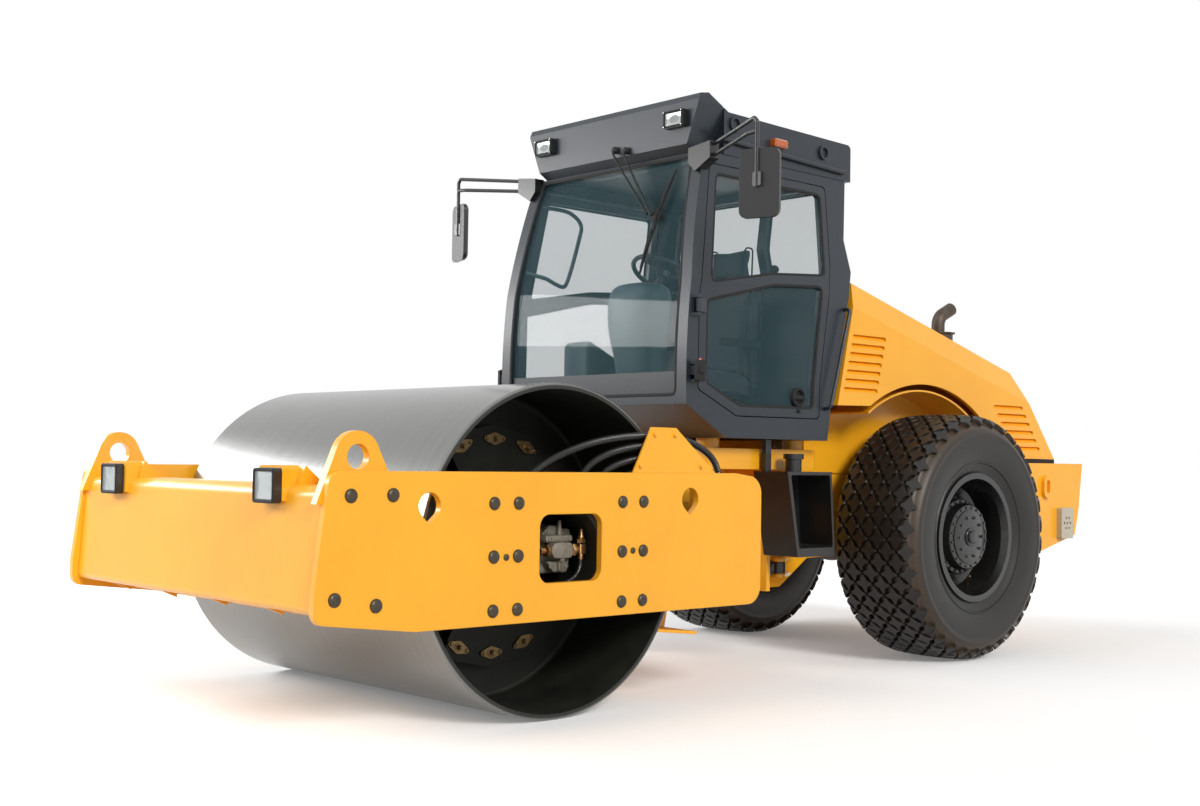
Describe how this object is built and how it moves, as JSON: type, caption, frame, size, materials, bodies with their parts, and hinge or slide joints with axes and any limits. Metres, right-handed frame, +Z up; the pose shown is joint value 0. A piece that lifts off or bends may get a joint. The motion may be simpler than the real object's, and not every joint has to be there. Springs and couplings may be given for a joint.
{
  "type": "single-drum road roller",
  "caption": "Articulated single-drum soil roller with a smooth steel drum, glazed cab, sloped hood and wide diamond-tread drive tyres.",
  "frame": {"origin": "on the ground under the middle of the machine", "axes": "+X forward towards the drum, +Y to the left, +Z up"},
  "size_m": [6.162, 2.7082, 3.165],
  "materials": {
    "yellow_paint": "gloss enamel",
    "cab_paint": "satin slate grey",
    "black_paint": "satin",
    "drum_steel": "rolled bright by use",
    "dark_steel": "dull, oily",
    "tyre_rubber": "matt",
    "rim_paint": "satin",
    "glass": "tinted",
    "lamp_glass": "clear ribbed lens",
    "amber_lens": "gloss",
    "black_rubber": "matt",
    "console_plastic": "grained",
    "seat_fabric": "woven",
    "cast_metal": "cast",
    "exhaust_metal": "burnt brown",
    "chrome_rod": "ground",
    "alarm_plastic": "satin",
    "zinc": "yellow zinc"
  },
  "bodies": {
    "tractor": {"chassis": "yellow_paint", "rear_bumper": "yellow_paint", "reversing_alarm": "alarm_plastic", "axle_housing": "cast_metal", "engine_block": "cast_metal", "fenders": "yellow_paint", "steps": "black_paint", "cab_body": "cab_paint", "cab_glass": "glass", "cab_roof": "cab_paint", "cab_rails": "cab_paint", "mirrors": "black_paint", "work_lamps": "lamp_glass", "marker_lamps": "amber_lens", "wipers": "black_paint", "seat": "seat_fabric", "consoles": "console_plastic", "steering_wheel": "console_plastic"},
    "centre_joint": {"pivot_block": "yellow_paint"},
    "drum_frame": {"side_plate_left": "yellow_paint", "side_plate_right": "yellow_paint", "front_crossbeam": "yellow_paint", "headlights": "lamp_glass", "rear_crossbeam": "yellow_paint", "scrapers": "yellow_paint", "drum_carriers": "dark_steel", "drum_motors": "cast_metal", "hoses": "black_rubber", "hose_guard": "yellow_paint"},
    "drum": {"drum_shell": "drum_steel", "exciter_housing": "dark_steel", "isolators": "zinc", "drum_plates": "dark_steel"},
    "wheel_left": {"tyre_left": "tyre_rubber", "rim_left": "rim_paint"},
    "wheel_right": {"tyre_right": "tyre_rubber", "rim_right": "rim_paint"},
    "door_left": {"door_frame_left": "cab_paint", "door_glass_left": "glass"},
    "door_right": {"door_frame_right": "cab_paint", "door_glass_right": "glass"},
    "hood": {"hood_shell": "yellow_paint", "exhaust": "exhaust_metal"},
    "steer_barrel_l": {"steer_barrel_left": "black_paint"},
    "steer_barrel_r": {"steer_barrel_right": "black_paint"},
    "steer_rod_l": {"steer_rod_left": "chrome_rod"},
    "steer_rod_r": {"steer_rod_right": "chrome_rod"}
  },
  "joints": [
    {"name": "steering", "type": "hinge", "parent": "tractor", "child": "centre_joint", "pos_m": [0.109, 0, 0.57], "axis": [0, 0, 1], "range_deg": [-37, 37]},
    {"name": "oscillation", "type": "hinge", "parent": "centre_joint", "child": "drum_frame", "pos_m": [0.509, 0, 0.57], "axis": [1, 0, 0], "range_deg": [-12, 12]},
    {"name": "drum_roll", "type": "hinge", "parent": "drum_frame", "child": "drum", "pos_m": [1.759, 0, 0.765], "axis": [0, 1, 0], "continuous": true},
    {"name": "wheel_left_roll", "type": "hinge", "parent": "tractor", "child": "wheel_left", "pos_m": [-1.541, 0.86, 0.745], "axis": [0, 1, 0], "continuous": true},
    {"name": "wheel_right_roll", "type": "hinge", "parent": "tractor", "child": "wheel_right", "pos_m": [-1.541, -0.86, 0.745], "axis": [0, 1, 0], "continuous": true},
    {"name": "door_left_hinge", "type": "hinge", "parent": "tractor", "child": "door_left", "pos_m": [0.579, 0.792, 1.65], "axis": [0, 0, 1], "range_deg": [-90, 0]},
    {"name": "door_right_hinge", "type": "hinge", "parent": "tractor", "child": "door_right", "pos_m": [0.579, -0.792, 1.65], "axis": [0, 0, 1], "range_deg": [0, 90]},
    {"name": "hood_hinge", "type": "hinge", "parent": "tractor", "child": "hood", "pos_m": [-3.016, 0, 1.23], "axis": [0, -1, 0], "range_deg": [0, 50]},
    {"name": "steer_barrel_l_swing", "type": "hinge", "parent": "tractor", "child": "steer_barrel_l", "pos_m": [-0.411, 0.505, 0.57], "axis": [0, 0, 1], "range_deg": [-2, 2]},
    {"name": "steer_barrel_r_swing", "type": "hinge", "parent": "tractor", "child": "steer_barrel_r", "pos_m": [-0.411, -0.505, 0.57], "axis": [0, 0, 1], "range_deg": [-2, 2]},
    {"name": "steer_rod_l_slide", "type": "slide", "parent": "steer_barrel_l", "child": "steer_rod_l", "axis": [0.903, -0.4297, 0], "range_m": [-0.141, 0.141]},
    {"name": "steer_rod_r_slide", "type": "slide", "parent": "steer_barrel_r", "child": "steer_rod_r", "axis": [0.903, 0.4297, 0], "range_m": [-0.141, 0.141]}
  ],
  "couplings": [
    {"joint": "steer_barrel_l_swing", "follows": "steering", "ratio": -0.0216},
    {"joint": "steer_barrel_r_swing", "follows": "steering", "ratio": -0.0216},
    {"joint": "steer_rod_l_slide", "follows": "steering", "m_per_rad": -0.2163},
    {"joint": "steer_rod_r_slide", "follows": "steering", "m_per_rad": 0.2163}
  ]
}
